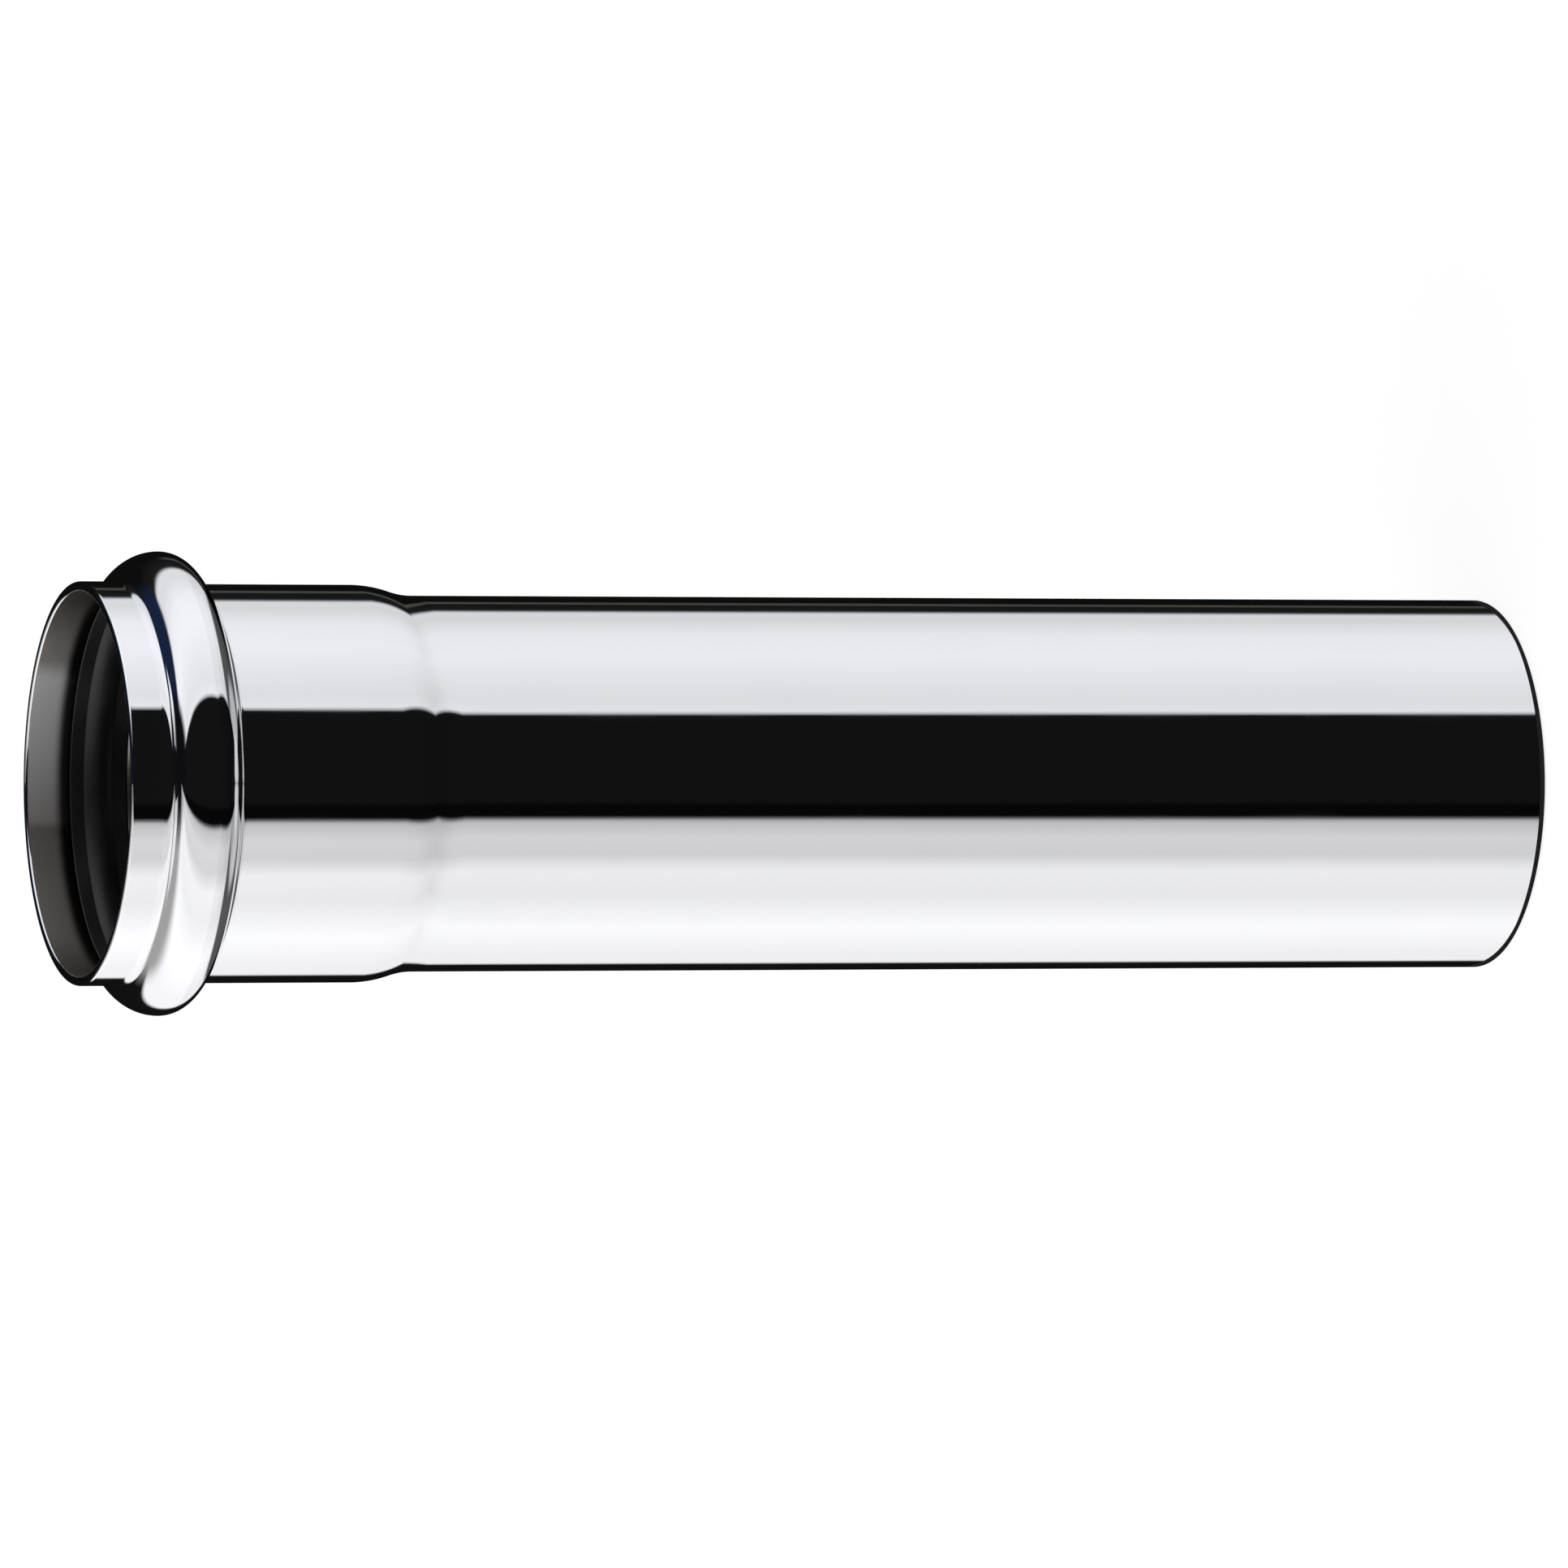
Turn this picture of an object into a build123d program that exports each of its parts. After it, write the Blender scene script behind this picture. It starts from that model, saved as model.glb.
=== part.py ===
from build123d import *
import os
from math import acos, degrees, sqrt

# Straight extension pipe for a basin waste: a drawn brass tube with a beaded socket, and a rubber seal ring.
# It stands on its plain end, with its axis on Z, the socket up and the origin in the plane of that end.
# The socket takes a pipe of the same outside diameter, and the ring in the bead seals on that pipe.

# Tube
pipe_diameter = 32.0  # outside of the plain end, and of the pipe that the socket takes
wall_thickness = 0.8
overall_length = 127.0
plain_end_chamfer = 0.45  # outer edge of the plain end

# Socket
socket_clearance = 0.1  # all round, between the socket and the pipe in it
lip_clearance = 0.3  # the same at the lip, which opens wider
rim_outer_radius = 0.25  # edges of the mouth
rim_inner_radius = 0.2
shoulder_depth = 23.9  # from the mouth to where the socket starts to narrow
shoulder_upper_radius = 9.5  # where the socket bends inwards
shoulder_lower_radius = 8.0  # where the shoulder runs out on the plain tube

# Bead
bead_depth = 7.0  # from the mouth to the bead's crest
bead_height = 2.75  # crest above the socket
front_crown_radius = 3.85  # from the crest towards the mouth, where the bead rises slowly
rear_crown_radius = 2.35  # from the crest towards the socket, where it falls steeply
front_valley_radius = 0.9  # between the lip and the bead
rear_valley_radius = 0.7  # between the bead and the socket

# Seal ring
seal_gap = 0.05  # between the ring and the bead around it
seal_squeeze = 0.1  # how far the lip reaches inside the outside of the pipe that it seals on
seal_lip_height = 0.45
seal_lip_radius = 1.9  # round of the lip
seal_tail = 0.15  # blunt edge where the ring runs out on the socket's side

# Radii and heights that follow from these
pipe_radius = pipe_diameter / 2
socket_radius = pipe_radius + socket_clearance + wall_thickness
lip_radius = pipe_radius + lip_clearance + wall_thickness
crest_radius = socket_radius + bead_height
bead_z = overall_length - bead_depth
shoulder_top_z = overall_length - shoulder_depth
seal_bore_radius = pipe_radius - seal_squeeze
seal_face_radius = seal_bore_radius + seal_lip_height


def bend_run(first_radius, second_radius, step):
    """Length along the axis of two touching arcs between straight walls that are a step apart."""
    reach = first_radius + second_radius
    return sqrt(reach**2 - (reach - step) ** 2)


def bend_angle(first_radius, second_radius, step):
    """Steepest slope of those two arcs, in degrees, where they touch."""
    return degrees(acos(1 - step / (first_radius + second_radius)))


def s_bend(start, end, first_radius, second_radius):
    """Two arcs from start to end, both leaving along the axis, that touch on the straight line between."""
    share = first_radius / (first_radius + second_radius)
    touch = Vector(*start) + (Vector(*end) - Vector(*start)) * share
    first = TangentArc(start, touch, tangent=(0, -1))
    TangentArc(touch, end, tangent=first % 1)


lip_step = crest_radius - lip_radius
shoulder_step = socket_radius - pipe_radius
front_z = bead_z + bend_run(front_valley_radius, front_crown_radius, lip_step)
rear_z = bead_z - bend_run(rear_crown_radius, rear_valley_radius, bead_height)
shoulder_bottom_z = shoulder_top_z - bend_run(shoulder_upper_radius, shoulder_lower_radius, shoulder_step)

# The tube's wall is drawn by its outside line, from the mouth down, and offset inwards by its thickness
with BuildPart() as pipe:
    with BuildSketch(Plane.XZ):
        with BuildLine():
            Line((lip_radius, overall_length), (lip_radius, front_z))
            s_bend((lip_radius, front_z), (crest_radius, bead_z), front_valley_radius, front_crown_radius)
            s_bend((crest_radius, bead_z), (socket_radius, rear_z), rear_crown_radius, rear_valley_radius)
            Line((socket_radius, rear_z), (socket_radius, shoulder_top_z))
            s_bend(
                (socket_radius, shoulder_top_z),
                (pipe_radius, shoulder_bottom_z),
                shoulder_upper_radius,
                shoulder_lower_radius,
            )
            Line((pipe_radius, shoulder_bottom_z), (pipe_radius, 0))
            offset(amount=wall_thickness, side=Side.RIGHT)
        make_face()
    revolve(axis=Axis.Z)
    rims = pipe.edges().filter_by(GeomType.CIRCLE).group_by(Axis.Z)
    fillet(rims[-1].sort_by(SortBy.RADIUS)[-1], radius=rim_outer_radius)
    chamfer(rims[0].sort_by(SortBy.RADIUS)[-1], length=plain_end_chamfer)
    fillet(pipe.edges().group_by(Axis.Z)[-1].sort_by(SortBy.RADIUS)[0], radius=rim_inner_radius)

# The ring's back and its rear side follow the inside of the bead, and its front side runs on straight.
# Its face carries one round lip.
front_angle = bend_angle(front_valley_radius, front_crown_radius, lip_step)
rear_angle = bend_angle(rear_crown_radius, rear_valley_radius, bead_height)
seal_inset = wall_thickness + seal_gap
rear_side_radius = rear_valley_radius + seal_inset
tail_radius = seal_face_radius + seal_tail
tail_angle = degrees(acos((socket_radius + rear_valley_radius - tail_radius) / rear_side_radius))

with BuildPart() as seal_ring:
    with BuildSketch(Plane.XZ):
        with BuildLine():
            front_center = (crest_radius - front_crown_radius, bead_z)
            rear_center = (crest_radius - rear_crown_radius, bead_z)
            valley_center = (socket_radius + rear_valley_radius, rear_z)
            front_back = CenterArc(front_center, front_crown_radius - seal_inset, 0, front_angle)
            CenterArc(rear_center, rear_crown_radius - seal_inset, 0, -rear_angle)
            rear = CenterArc(valley_center, rear_side_radius, 180 - rear_angle, rear_angle - tail_angle)
            front_side = (front_back % 1) * ((front_back @ 1).X - seal_face_radius) / -(front_back % 1).X
            front = Line(front_back @ 1, front_back @ 1 + front_side)
            tail = Line(rear @ 1, rear @ 1 - Vector(seal_tail, 0))
            lip_middle = (front @ 1 + tail @ 1) / 2
            lip_half = sqrt(seal_lip_radius**2 - (seal_lip_radius - seal_lip_height) ** 2)
            lip_start = lip_middle + Vector(0, lip_half)
            lip_end = lip_middle - Vector(0, lip_half)
            Line(front @ 1, lip_start)
            ThreePointArc(lip_start, lip_middle - Vector(seal_lip_height, 0), lip_end)
            Line(lip_end, tail @ 1)
        make_face()
    revolve(axis=Axis.Z)

os.makedirs("parts", exist_ok=True)
pipe.part.label = "pipe"
export_step(pipe.part, "parts/pipe.step")
seal_ring.part.label = "seal_ring"
export_step(seal_ring.part, "parts/seal_ring.step")
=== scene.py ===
import math

import bpy
import numpy as np
from mathutils import Matrix, Vector


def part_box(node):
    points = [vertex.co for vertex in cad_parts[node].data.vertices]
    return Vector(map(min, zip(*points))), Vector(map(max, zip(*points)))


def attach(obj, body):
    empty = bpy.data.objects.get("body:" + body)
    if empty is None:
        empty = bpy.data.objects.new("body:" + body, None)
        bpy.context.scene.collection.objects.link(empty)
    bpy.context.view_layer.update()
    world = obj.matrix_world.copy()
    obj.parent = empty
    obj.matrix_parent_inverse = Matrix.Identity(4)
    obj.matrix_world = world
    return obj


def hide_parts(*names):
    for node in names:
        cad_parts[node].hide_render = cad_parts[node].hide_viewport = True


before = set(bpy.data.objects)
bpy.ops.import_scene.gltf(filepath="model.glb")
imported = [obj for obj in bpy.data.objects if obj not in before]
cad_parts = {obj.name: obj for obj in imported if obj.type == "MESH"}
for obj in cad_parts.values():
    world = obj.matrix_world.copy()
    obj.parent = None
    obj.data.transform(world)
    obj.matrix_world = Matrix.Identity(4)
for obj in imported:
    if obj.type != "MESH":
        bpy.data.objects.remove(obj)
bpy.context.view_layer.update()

# A chrome extension pipe for a basin waste: a drawn tube with a beaded socket, and the rubber seal ring
# in its bead. It stands on its plain end, with its axis on Z and its mouth up.
# Sections are drawn in millimetres, as rows of radius, height and the two parts of the outward normal.
MM = 0.001
around = 256  # steps round the axis

# The tube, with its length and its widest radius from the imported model
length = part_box("pipe")[1].z / MM
crest_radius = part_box("pipe")[1].x / MM
wall = 0.8
pipe_radius = 16.0
socket_radius = 16.9
lip_radius = 17.1
nose_round = 0.25  # outer edge of the mouth
rim_round = 0.2  # inner edge of the mouth
end_round = 0.7  # outer edge of the plain end, whose chamfer is worn round
edge_break = 0.06  # inner edge of the plain end, which is only broken
bead_depth = 7.0  # from the mouth to the bead's crest
front_crown = 3.85  # the bead's crown towards the mouth
rear_crown = 2.35  # and towards the socket
front_valley = 0.9  # hollow between the lip and the bead
rear_valley = 0.7  # and between the bead and the socket
shoulder_depth = 23.9  # from the mouth to where the socket starts to narrow
shoulder_upper = 9.5  # where the socket bends inwards
shoulder_lower = 8.0  # where the shoulder runs out on the plain tube

# The seal ring
seal_face = 16.35
seal_gap = 0.05  # between the ring and the bead
seal_lip_round = 1.9
seal_lip_height = 0.45
seal_tail = 0.15  # blunt edge where the ring runs out on the socket's side
seal_corner = 0.1
tail_corner = 0.05
seal_root = 0.15  # hollow where the lip leaves the face


def bend(first_round, second_round, step):
    """Slope in degrees and length along the axis of two touching arcs between walls a step apart."""
    reach = first_round + second_round
    return math.degrees(math.acos(1 - step / reach)), math.sqrt(reach**2 - (reach - step) ** 2)


bead_z = length - bead_depth
shoulder_z = length - shoulder_depth
front_slope, front_run = bend(front_valley, front_crown, crest_radius - lip_radius)
rear_slope, rear_run = bend(rear_crown, rear_valley, crest_radius - socket_radius)
shoulder_slope, shoulder_run = bend(shoulder_upper, shoulder_lower, socket_radius - pipe_radius)
front_z = bead_z + front_run
rear_z = bead_z - rear_run
foot_z = shoulder_z - shoulder_run  # where the shoulder ends on the plain tube
front_center = crest_radius - front_crown
rear_center = crest_radius - rear_crown


def arc(center_radius, center_z, radius, start, end, count):
    """Points at radius from a centre, from one angle to another in degrees. Falling angles bulge outwards."""
    angle = np.radians(np.linspace(start, end, count))
    side = 1.0 if end < start else -1.0
    ray = np.column_stack((np.cos(angle), np.sin(angle)))
    return np.column_stack((ray * radius + (center_radius, center_z), ray * side))


def straight(start, end, count):
    """Evenly spaced points on a line. The normal is the line's direction turned a quarter to the left."""
    start, end = np.array(start), np.array(end)
    share = np.linspace(0.0, 1.0, count)[:, None]
    along = (end - start) / np.linalg.norm(end - start)
    normal = np.array((-along[1], along[0])) * np.ones((count, 1))
    return np.column_stack((start + (end - start) * share, normal))


def corner(point, start, end, radius, count):
    """An arc that rounds a corner between two sides, whose normals have these angles."""
    angles = np.radians((start, end))
    first, second = np.column_stack((np.cos(angles), np.sin(angles)))
    center = np.array(point) - radius * (first + second) / (1 + first @ second)
    return arc(center[0], center[1], radius, start, end, count)


def mirrored(part):
    """The same points met from the other end, with the normal on the other side of the line."""
    return part[::-1] * (1, 1, -1, -1)


def joined(parts):
    """A closed section from its parts in order, without the point that each shares with the next."""
    return np.concatenate([part[:-1] for part in parts])


def wall_line(inset, fine):
    """The tube's wall from mouth to plain end, moved inwards by inset: straight walls and touching arcs."""
    valley_count = 14 * fine
    front_count = 16 * fine
    rear_count = 14 * fine
    shoulder_count = 8 * fine
    socket_wall = socket_radius - inset
    upper = shoulder_upper - inset
    lower = shoulder_lower + inset
    rear_middle = socket_radius + rear_valley
    return [
        arc(lip_radius + front_valley, front_z, front_valley + inset, 180, 180 + front_slope, valley_count),
        arc(front_center, bead_z, front_crown - inset, front_slope, 0, front_count),
        arc(rear_center, bead_z, rear_crown - inset, 0, -rear_slope, rear_count),
        arc(rear_middle, rear_z, rear_valley + inset, 180 - rear_slope, 180, valley_count),
        straight((socket_wall, rear_z), (socket_wall, shoulder_z), count=10),
        arc(socket_radius - shoulder_upper, shoulder_z, upper, 0, -shoulder_slope, shoulder_count),
        arc(pipe_radius + shoulder_lower, foot_z, lower, 180 - shoulder_slope, 180, shoulder_count),
    ]


def tube_section():
    """The wall's closed section: down the outside, across the plain end, up the inside and over the lip.

    With it comes each row's finish: 0 outside, 1 in the bore and 2 inside the lip.
    """
    bore = pipe_radius - wall
    lip_bore = lip_radius - wall
    outside = [
        corner((lip_radius, length), 90, 0, nose_round, count=10),
        straight((lip_radius, length - nose_round), (lip_radius, front_z), count=5),
        *wall_line(0.0, fine=3),
        straight((pipe_radius, foot_z), (pipe_radius, end_round), count=12),
        corner((pipe_radius, 0.0), 0, -90, end_round, count=14),
    ]
    cut_end = [
        straight((pipe_radius - end_round, 0.0), (bore + edge_break, 0.0), count=3),
        corner((bore, 0.0), -90, -180, edge_break, count=4),
    ]
    *inside_wall, inside_valley = [mirrored(part) for part in reversed(wall_line(wall, fine=1))]
    inside = [straight((bore, edge_break), (bore, foot_z), count=12), *inside_wall]
    mouth = [inside_valley, straight((lip_bore, front_z), (lip_bore, length - rim_round), count=6)]
    rim = [
        corner((lip_bore, length), 180, 90, rim_round, count=8),
        straight((lip_bore + rim_round, length), (lip_radius - nose_round, length), count=3),
    ]
    sides = (outside, cut_end, inside, mouth, rim)
    counts = [sum(len(part) - 1 for part in side) for side in sides]
    return joined([part for side in sides for part in side]), np.repeat((0, 0, 1, 2, 0), counts)


def seal_section():
    """The ring's closed section: its back and rear side follow the bead, and its face has one round lip."""
    inset = wall + seal_gap
    rear_side = rear_valley + inset
    tail_radius = seal_face + seal_tail
    valley_center = socket_radius + rear_valley
    tail_turn = math.degrees(math.acos((valley_center - tail_radius) / rear_side))
    tail_z = rear_z + rear_side * math.sin(math.radians(tail_turn))
    front_back = arc(front_center, bead_z, front_crown - inset, front_slope, 0, count=24)
    front_end = front_back[0, :2]
    face_z = front_end[1] + (front_end[0] - seal_face) / math.tan(math.radians(front_slope))
    front_corner = corner((seal_face, face_z), 180, front_slope, seal_corner, count=10)
    lip_z = (face_z + tail_z) / 2
    lip_center = seal_face + seal_lip_round - seal_lip_height
    root_reach = lip_center - seal_face + seal_root
    root_rise = math.sqrt((seal_lip_round + seal_root) ** 2 - root_reach**2)
    lip_turn = math.degrees(math.atan2(root_rise, root_reach))
    root_radius = seal_face - seal_root
    tail_inner = corner((seal_face, tail_z), -90, -180, tail_corner, count=6)
    return joined(
        [
            front_back,
            arc(rear_center, bead_z, rear_crown - inset, 0, -rear_slope, count=16),
            arc(valley_center, rear_z, rear_side, 180 - rear_slope, 180 - tail_turn, count=16),
            corner((tail_radius, tail_z), -tail_turn, -90, tail_corner, count=4),
            tail_inner,
            straight(tail_inner[-1, :2], (seal_face, lip_z - root_rise), count=4),
            arc(root_radius, lip_z - root_rise, seal_root, 0, lip_turn, count=6),
            arc(lip_center, lip_z, seal_lip_round, 180 + lip_turn, 180 - lip_turn, count=32),
            arc(root_radius, lip_z + root_rise, seal_root, -lip_turn, 0, count=6),
            straight((seal_face, lip_z + root_rise), front_corner[0, :2], count=4),
            front_corner,
            straight(front_corner[-1, :2], front_end, count=8),
        ]
    )


def turned(name, section, finishes, finish_of_row=None):
    """A section carried round the axis, closed both ways.

    A point is its radius times the cosine and sine of the turn, at its own height.
    """
    rows = len(section)
    turn = np.arange(around) * (2 * math.pi / around)
    ring = np.stack((np.cos(turn), np.sin(turn)), axis=1)
    place = np.empty((rows, around, 3))
    normal = np.empty((rows, around, 3))
    place[..., :2] = section[:, None, 0:1] * ring * MM
    place[..., 2] = section[:, None, 1] * MM
    normal[..., :2] = section[:, None, 2:3] * ring
    normal[..., 2] = section[:, None, 3]
    row, step = np.meshgrid(np.arange(rows), np.arange(around), indexing="ij")
    this_ring = row * around
    next_ring = (row + 1) % rows * around
    after = (step + 1) % around
    quads = np.stack((this_ring + step, next_ring + step, next_ring + after, this_ring + after), -1)
    mesh = bpy.data.meshes.new(name)
    mesh.from_pydata(place.reshape(-1, 3), [], quads.reshape(-1, 4))
    for finish in finishes:
        mesh.materials.append(finish)
    if finish_of_row is not None:
        mesh.polygons.foreach_set("material_index", np.repeat(finish_of_row, around).astype(np.int32))
    mesh.polygons.foreach_set("use_smooth", np.ones(rows * around, bool))
    mesh.normals_split_custom_set_from_vertices(normal.reshape(-1, 3))
    mesh.update()
    piece = bpy.data.objects.new(name, mesh)
    bpy.context.scene.collection.objects.link(piece)
    return piece


class Shade:
    """An output in a shader tree. Arithmetic on it adds Math nodes to that tree."""

    def __init__(self, tree, socket=None):
        self.tree = tree
        self.socket = socket

    def node(self, kind, settings=None, sockets=None, output=0):
        """Adds a node: its settings first, then the values or links of its input sockets."""
        made = self.tree.nodes.new(kind)
        for name, value in (settings or {}).items():
            if name == "stops":
                while len(made.color_ramp.elements) < len(value):
                    made.color_ramp.elements.new(0.5)
                for stop, (position, shade) in zip(made.color_ramp.elements, value):
                    stop.position = position
                    stop.color = shade
            else:
                setattr(made, name, value)
        for name, value in (sockets or {}).items():
            if isinstance(value, Shade):
                self.tree.links.new(value.socket, made.inputs[name])
            else:
                made.inputs[name].default_value = value
        return Shade(self.tree, made.outputs[output] if made.outputs else None)

    def also(self, output):
        """Another output of the same node."""
        return Shade(self.tree, self.socket.node.outputs[output])

    def math(self, operation, *terms):
        """One Math node on these terms."""
        return self.node("ShaderNodeMath", {"operation": operation}, dict(enumerate(terms)))

    def __add__(self, other):
        return self.math("ADD", self, other)

    def __radd__(self, other):
        return self.math("ADD", other, self)

    def __sub__(self, other):
        return self.math("SUBTRACT", self, other)

    def __rsub__(self, other):
        return self.math("SUBTRACT", other, self)

    def __mul__(self, other):
        return self.math("MULTIPLY", self, other)

    def __rmul__(self, other):
        return self.math("MULTIPLY", other, self)

    def __abs__(self):
        return self.math("ABSOLUTE", self)

    def smooth(self, low, high):
        """0 below low, 1 above high, and a soft step between."""
        return self.node(
            "ShaderNodeMapRange",
            {"interpolation_type": "SMOOTHSTEP"},
            {"Value": self, "From Min": low, "From Max": high},
        )

    def mix(self, first, second):
        """Goes from the first colour to the second as this value goes from 0 to 1."""
        return self.node("ShaderNodeMix", {"data_type": "RGBA"}, {0: self, 6: first, 7: second}, output=2)

    def times(self, strength):
        """This colour, made brighter or darker by a value."""
        return self.node("ShaderNodeVectorMath", {"operation": "SCALE"}, {0: self, "Scale": strength})


def color(red, green, blue):
    """An opaque colour."""
    return (red, green, blue, 1.0)


white = color(1.0, 1.0, 1.0)


def new_finish(name):
    """An empty material, the value that its nodes start from, and the place on the piece in metres."""
    finish = bpy.data.materials.new(name)
    finish.use_nodes = True
    finish.node_tree.nodes.clear()
    tree = Shade(finish.node_tree)
    return finish, tree, tree.node("ShaderNodeTexCoord", output="Object")


def show(surface):
    """Puts a shader on the material's output."""
    surface.node("ShaderNodeOutputMaterial", None, {"Surface": surface})


def noise(place, scale, detail=2.0):
    """Cloudy noise from 0 to 1, with about this many patches to the metre and finer ones on them."""
    return place.node("ShaderNodeTexNoise", None, {"Vector": place, "Scale": scale, "Detail": detail})


def chrome_plate():
    """Bright chrome on the outside: a mirror with faint lines along the tube and thin patches of haze."""
    finish, tree, place = new_finish("chrome_plate")
    drawn_out = tree.node("ShaderNodeMapping", None, {"Vector": place, "Scale": (1.0, 1.0, 0.03)})
    lines = noise(drawn_out, scale=420.0)
    haze = noise(place, scale=90.0, detail=4.0)
    relief = tree.node("ShaderNodeBump", None, {"Strength": 1.0, "Distance": 0.004 * MM, "Height": lines})
    surface = {
        "Base Color": haze.mix(color(0.86, 0.87, 0.885), color(0.90, 0.905, 0.915)),
        "Metallic": 1.0,
        "Roughness": 0.03 + 0.03 * haze.smooth(0.4, 0.7),
        "Normal": relief,
    }
    show(tree.node("ShaderNodeBsdfPrincipled", None, surface))
    return finish


def plated_bore():
    """The bore, where less chrome reaches: a darker, smooth plate, clouded in patches."""
    finish, tree, place = new_finish("plated_bore")
    cloud = noise(place, scale=160.0, detail=3.0)
    surface = {
        "Base Color": cloud.mix(color(0.40, 0.37, 0.34), color(0.48, 0.45, 0.42)),
        "Metallic": 1.0,
        "Roughness": 0.22 + 0.08 * cloud,
    }
    show(tree.node("ShaderNodeBsdfPrincipled", None, surface))
    return finish


def satin_lip_painted_light():
    """The lip's inside, left satin by the tool that flared the mouth: a warm grey, with a paler stretch
    across it, which is a painted reflection, and painted light that makes it lighter towards +X.

    Beside that stretch it is painted darker, and it is painted dark at both sides and where the wall bends
    into
    the bead: painted shade. The limits are in metres: across the mouth along X, and for the bend along Z.
    """
    # Limits in metres of the painted light and painted shade below.
    brighter = (-0.006, 0.006)
    painted_pale_start = (-0.0040, -0.0030)
    painted_pale_end = (0.0088, 0.0098)
    painted_dark_start = (0.0094, 0.0108)
    painted_shade_sides = (0.0115, 0.0175)
    painted_bend_shade_edge = ((front_z - 0.6) * MM, (front_z + 0.5) * MM)
    finish, tree, place = new_finish("satin_lip_painted_light")
    across = tree.node("ShaderNodeSeparateXYZ", None, {"Vector": place})
    cloud = noise(place, scale=120.0, detail=3.0)
    # Painted light: the colour rises from a warm grey to near white towards +X.
    bright = (across + 0.004 * cloud).smooth(*brighter)
    # Painted reflection: a stretch across the mouth with less metal, so that it catches more light and looks
    # paler.
    pale = across.smooth(*painted_pale_start) * (1.0 - across.smooth(*painted_pale_end))
    # The warm grey with its painted light.
    satin = bright.mix(color(0.46, 0.435, 0.41), color(0.96, 0.95, 0.945))
    # Painted shade: past the pale stretch towards +X the colour is painted darker.
    painted_dark_beside = across.smooth(*painted_dark_start).mix(satin, color(0.60, 0.56, 0.53))
    # Painted shade: the colour goes dark at both sides of the mouth, along X.
    painted_side_shade = abs(across + 0.002 * cloud).smooth(*painted_shade_sides)
    painted_lip_shading = painted_side_shade.mix(painted_dark_beside, color(0.10, 0.095, 0.09))
    # Painted shade: nearly black where the wall bends into the bead, under this edge along Z.
    clear_of_bend_shade = across.also("Z").smooth(*painted_bend_shade_edge)
    surface = {
        "Base Color": clear_of_bend_shade.mix(color(0.045, 0.042, 0.04), painted_lip_shading),
        # Less metal in the pale stretch, for its painted reflection.
        "Metallic": 0.97 - 0.57 * pale,
        "Roughness": 0.46 + 0.06 * cloud,
    }
    show(tree.node("ShaderNodeBsdfPrincipled", None, surface))
    return finish


def seal_rubber():
    """Black moulded rubber: satin, with a fine grain and a faint grey bloom in patches."""
    finish, tree, place = new_finish("seal_rubber")
    grain = noise(place, scale=5200.0, detail=3.0)
    bloom = noise(place, scale=220.0, detail=3.0)
    relief = tree.node("ShaderNodeBump", None, {"Strength": 0.6, "Distance": 0.02 * MM, "Height": grain})
    black = color(0.013, 0.012, 0.0115)
    grey = color(0.032, 0.030, 0.0285)
    surface = {
        "Base Color": bloom.smooth(0.35, 0.8).mix(black, grey),
        "Roughness": 0.42 + 0.16 * bloom,
        "IOR": 1.6,
        "Normal": relief,
    }
    show(tree.node("ShaderNodeBsdfPrincipled", None, surface))
    return finish


tube, tube_finish = tube_section()
pipe_shell = turned("pipe_shell", tube, [chrome_plate(), plated_bore(), satin_lip_painted_light()], tube_finish)
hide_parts("pipe")
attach(pipe_shell, "root")

lip_seal = turned("lip_seal", seal_section(), [seal_rubber()])
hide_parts("seal_ring")
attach(lip_seal, "root")

# The studio that the chrome shows: panels and dark cards round the pipe, as turns from the camera's side
# in degrees, towards +X, with their brightness
panels = (
    (-180, 0.004),
    (-149, 0.006),
    (-145, 0.90),
    (-130, 0.92),
    (-100, 1.04),
    (-72, 0.86),
    (-55, 0.90),
    (-44, 0.66),
    (-33, 0.69),
    (-23, 0.53),
    (-20.5, 0.002),
    (-13, 0.002),
    (-11, 0.006),
    (42.5, 0.006),
    (44.5, 0.82),
    (52, 0.77),
    (85, 0.90),
    (105, 0.86),
    (122, 0.70),
    (130, 0.72),
    (134, 0.012),
    (151, 0.004),
    (180, 0.004),
)
cool = (0.985, 0.99, 1.02)  # tint of the panels towards +X
warm = (1.0, 0.995, 1.005)  # and of those on the other side

# Where its parts start and are whole. Turns are shares of a full circle, and a ray's height goes from -1,
# straight down, to 1, straight up.
side_change = (-0.02, 0.02)  # turns, from one side of the pipe to the other
spread_below = -0.3  # height under which the panels in front spread sideways
spread_back = (0.17, 0.28)  # turns past which they spread less
gain_low = (-0.82, -0.45)  # heights over which the panels gain light
gain_high = (-0.30, -0.25)
streak_start = (0.398, 0.41)  # turns of a faint streak of light in the dark behind the pipe
streak_end = (0.41, 0.42)
streak_top = (-0.22, -0.08)  # heights at which it fades out
pale_edge = (0.43, 0.53)  # edges of the two cards behind the pipe
dark_edge = (0.474, 0.50)
card_foot = (0.35, 0.6)  # heights at which both begin
cap_edge = (0.985, 1.04)  # the dark straight up
ground_edge = (-1.03, -0.965)  # where the panels end above the ground
dim_edge = (-0.93, -0.87)  # heights over which the ground dims
foot_edge = (-0.985, -0.97)  # heights of the light straight down


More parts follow.
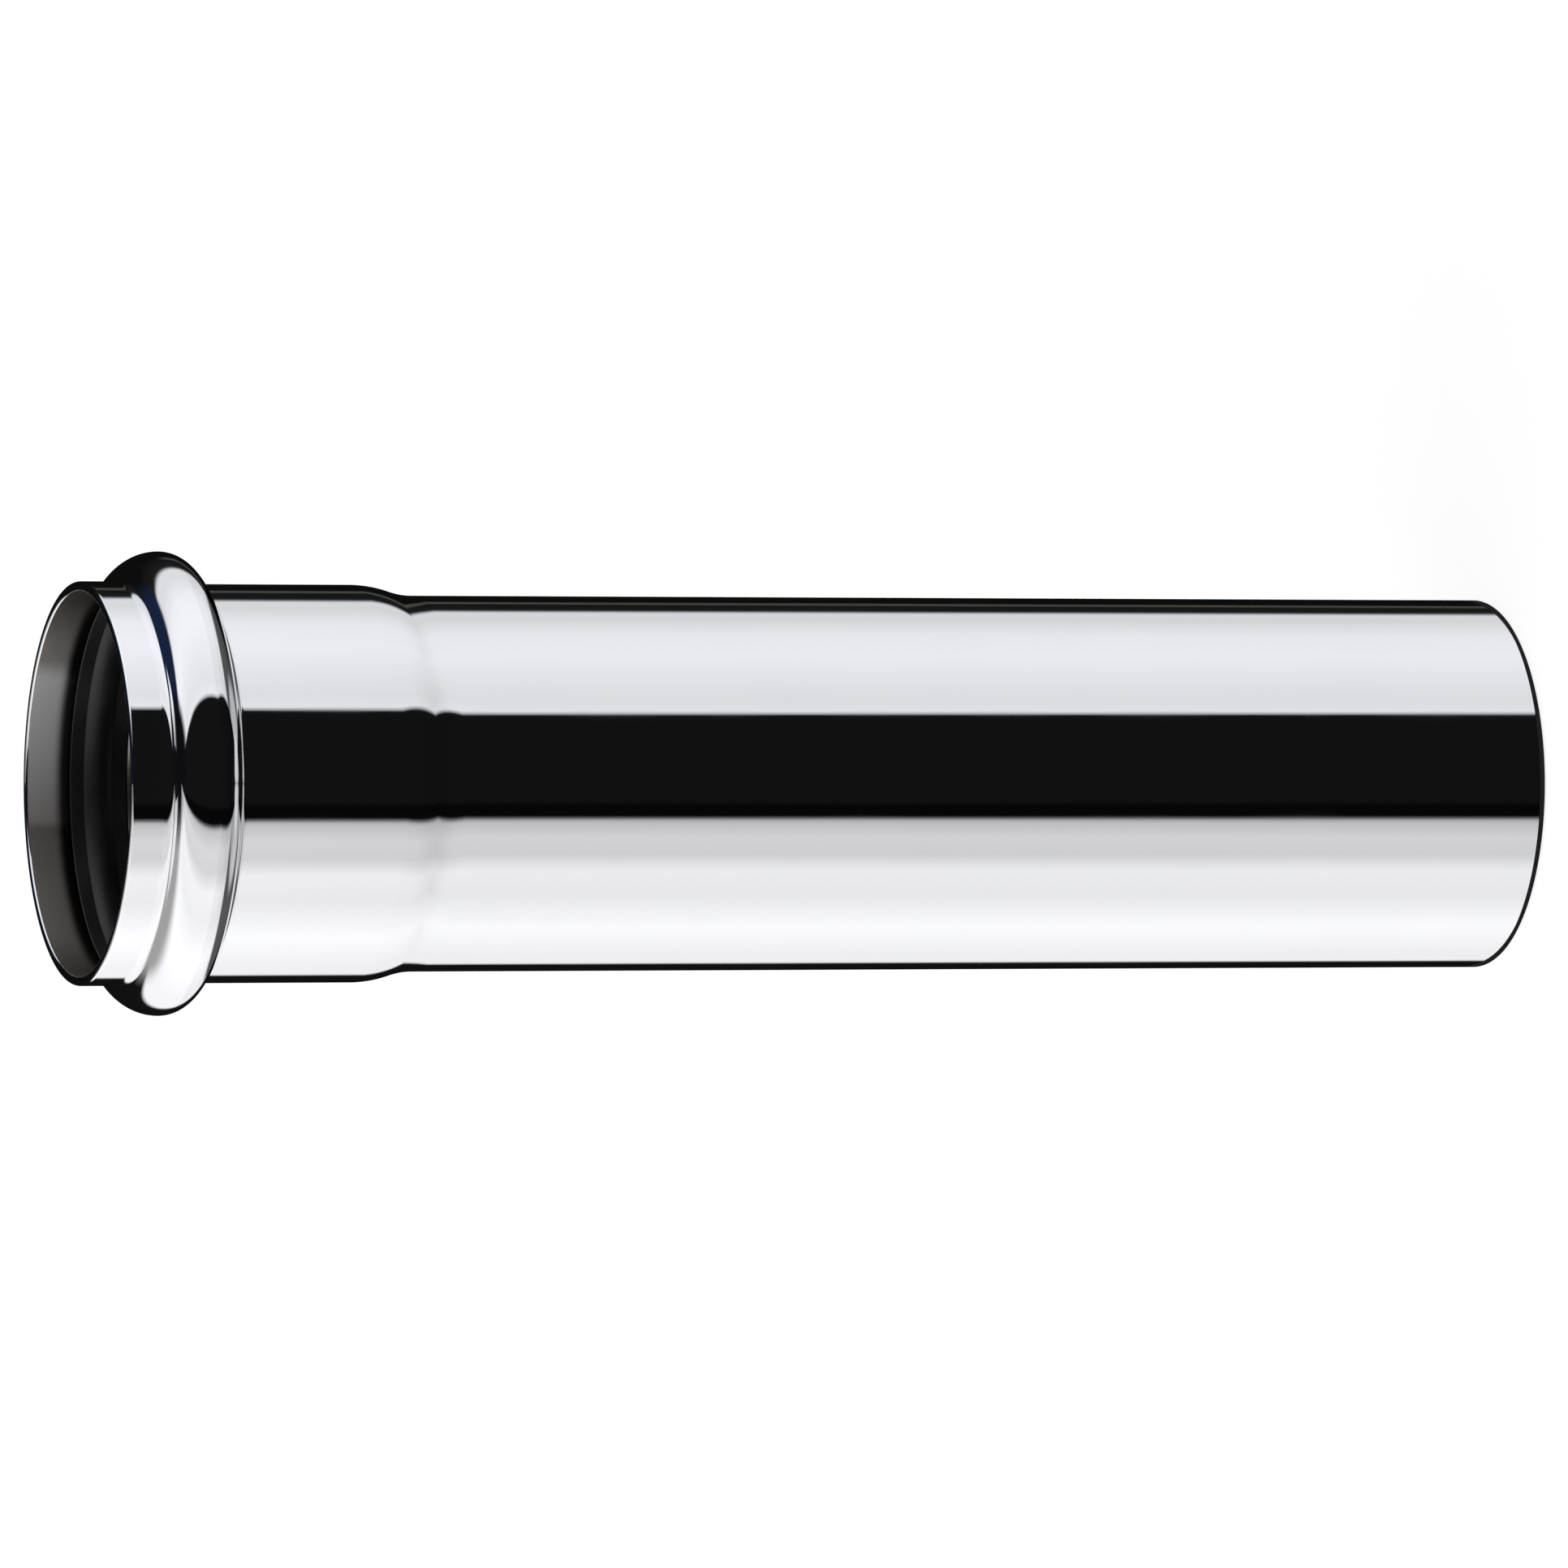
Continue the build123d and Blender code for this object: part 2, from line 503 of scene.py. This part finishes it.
def studio():
    """The world: brightness goes by the turn of a ray round the axis, and is white to the camera.

    Below, the panels in front spread sideways, and a little light is lost. Straight up is dark, and two
    cards hang high behind the pipe. Under the panels the ground is dim, then light again, and lightest
    straight down.
    """
    world = bpy.data.worlds.new("studio")
    bpy.context.scene.world = world
    world.use_nodes = True
    world.node_tree.nodes.clear()
    tree = Shade(world.node_tree)
    ray = tree.node("ShaderNodeTexCoord", output="Generated")
    side = tree.node("ShaderNodeSeparateXYZ", None, {"Vector": ray})
    height = side.also("Z")
    turn = side.math("ARCTAN2", side, side.also("Y") * -1.0) * (0.5 / math.pi)
    away = abs(turn)
    dark_side = turn.smooth(*side_change)

    # The panels, and the streak in the dark behind the pipe
    drop = side.math("MAXIMUM", spread_below - height, 0.0)
    lean = 1.0 - 0.4 * drop * (1.0 - 0.6 * away.smooth(*spread_back))
    degrees, level = np.array(panels).T
    tint = np.where(degrees[:, None] > 0, cool, warm) * level[:, None]
    stops = [(place, color(*shade)) for place, shade in zip(degrees / 360 + 0.5, tint)]
    ring = tree.node("ShaderNodeValToRGB", {"stops": stops}, {"Fac": turn * lean + 0.5})
    gain = 0.92 + 0.13 * height.smooth(*gain_low) + 0.09 * height.smooth(*gain_high)
    streak_turn = turn.smooth(*streak_start) * (1.0 - turn.smooth(*streak_end))
    streak = streak_turn * (1.0 - height.smooth(*streak_top))
    lit = streak.mix(ring.times(gain), color(0.075, 0.068, 0.06))

    # The cards high behind the pipe, and the dark straight up
    card = dark_side.mix(color(0.40, 0.393, 0.39), color(0.010, 0.018, 0.05))
    round_back = away + 0.227 * height
    pale_card = round_back.smooth(*pale_edge)
    dark_card = round_back.smooth(*dark_edge)
    behind = (pale_card + dark_side * (dark_card - pale_card)) * height.smooth(*card_foot)
    above = (height + 0.12 * away + 0.055 * dark_side).smooth(*cap_edge)
    open_sky = above.mix(behind.mix(lit, card), color(0.005, 0.005, 0.007))

    # The ground under the panels
    below = (height - 1.04 * away).smooth(*ground_edge)
    dim = 0.10 + 0.50 * (1.0 - height.smooth(*dim_edge))
    foot = height.smooth(*foot_edge).mix(color(0.7, 0.7, 0.72), ring.times(dim))
    reflected = below.mix(foot, open_sky)

    seen = tree.node("ShaderNodeLightPath", output="Is Camera Ray")
    light = tree.node("ShaderNodeBackground", None, {"Color": seen.mix(reflected, white)})
    tree.node("ShaderNodeOutputWorld", None, {"Surface": light})


ground_steps = 96  # steps round the floor and the shade on it


def ground_ring(name, reach, finish, middle=()):
    """Flat rings on the ground between these distances from the axis, and any faces given for the middle."""
    rings = len(reach)
    turn = np.arange(ground_steps) * (2 * math.pi / ground_steps)
    flat = np.zeros((rings, ground_steps))
    place = np.stack((np.outer(reach, np.cos(turn)), np.outer(reach, np.sin(turn)), flat), -1)
    row, step = np.meshgrid(np.arange(rings - 1), np.arange(ground_steps), indexing="ij")
    inner = row * ground_steps
    outer = inner + ground_steps
    after = (step + 1) % ground_steps
    quads = np.stack((inner + step, outer + step, outer + after, inner + after), -1)
    mesh = bpy.data.meshes.new(name)
    mesh.from_pydata(place.reshape(-1, 3), [], [*quads.reshape(-1, 4).tolist(), *middle])
    mesh.materials.append(finish)
    mesh.update()
    ground = bpy.data.objects.new(name, mesh)
    bpy.context.scene.collection.objects.link(ground)
    return ground


def foot_shade():
    """A dark ring on the ground under the pipe's edge, painted shade for the dark that gathers there, which
    only the pipe's mirror shows.
    """
    finish, tree, place = new_finish("foot_shade")
    dark = noise(place, scale=60.0).mix(color(0.10, 0.095, 0.09), color(0.13, 0.125, 0.12))
    show(tree.node("ShaderNodeBsdfDiffuse", None, {"Color": dark}))
    shade = ground_ring("foot_shade", (0.0154, 0.0172), finish)
    shade.visible_camera = False
    shade.visible_diffuse = False
    shade.visible_shadow = False


def studio_floor():
    """A pale disc under the pipe. It is lit, so it keeps the shadow, and glows to bring it up to white."""
    finish, tree, place = new_finish("floor_white")
    path = tree.node("ShaderNodeLightPath", output="Is Camera Ray")
    shown = path + path.also("Is Glossy Ray") + path.also("Is Transmission Ray")
    paper = noise(place, scale=30.0).mix(color(0.38, 0.38, 0.38), color(0.40, 0.40, 0.40))
    lit = tree.node("ShaderNodeBsdfDiffuse", None, {"Color": paper})
    glow = tree.node("ShaderNodeEmission", None, {"Color": white, "Strength": 0.84})
    bright = tree.node("ShaderNodeAddShader", None, {0: lit, 1: glow})
    show(tree.node("ShaderNodeMixShader", None, {0: shown, 1: lit, 2: bright}))
    floor = ground_ring("floor", (0.0005, 0.5, 4.0), finish, [list(range(ground_steps))])
    floor.visible_glossy = False


def photo_camera():
    """A long lens above the mouth, rolled so that the pipe lies across the picture, its mouth on the left."""
    picture_width = 1932
    focal = 17634.0  # in pixels of that picture
    distance = 1228.64  # from the pipe's middle, in millimetres, as are the two shifts
    shift_left = 0.5135
    shift_down = 0.028
    tilt = math.radians(18.553)
    right = Vector((0.0, -math.sin(tilt), -math.cos(tilt)))
    ahead = Vector((0.0, math.cos(tilt), -math.sin(tilt)))
    down = Vector((-1.0, 0.0, 0.0))
    middle = Vector((0.0, 0.0, length / 2))
    place = (middle - right * shift_left + down * shift_down - ahead * distance) * MM
    lens = bpy.data.cameras.new("photo_camera")
    lens.sensor_width = 36.0
    lens.lens = lens.sensor_width * focal / picture_width
    lens.clip_start = 0.05
    lens.clip_end = 20.0
    camera = bpy.data.objects.new("photo_camera", lens)
    bpy.context.scene.collection.objects.link(camera)
    axes = Matrix((right, -down, -ahead)).transposed().to_4x4()
    camera.matrix_world = Matrix.Translation(place) @ axes
    bpy.context.scene.camera = camera


studio()
studio_floor()
foot_shade()
photo_camera()
bpy.context.scene.view_settings.view_transform = "Standard"
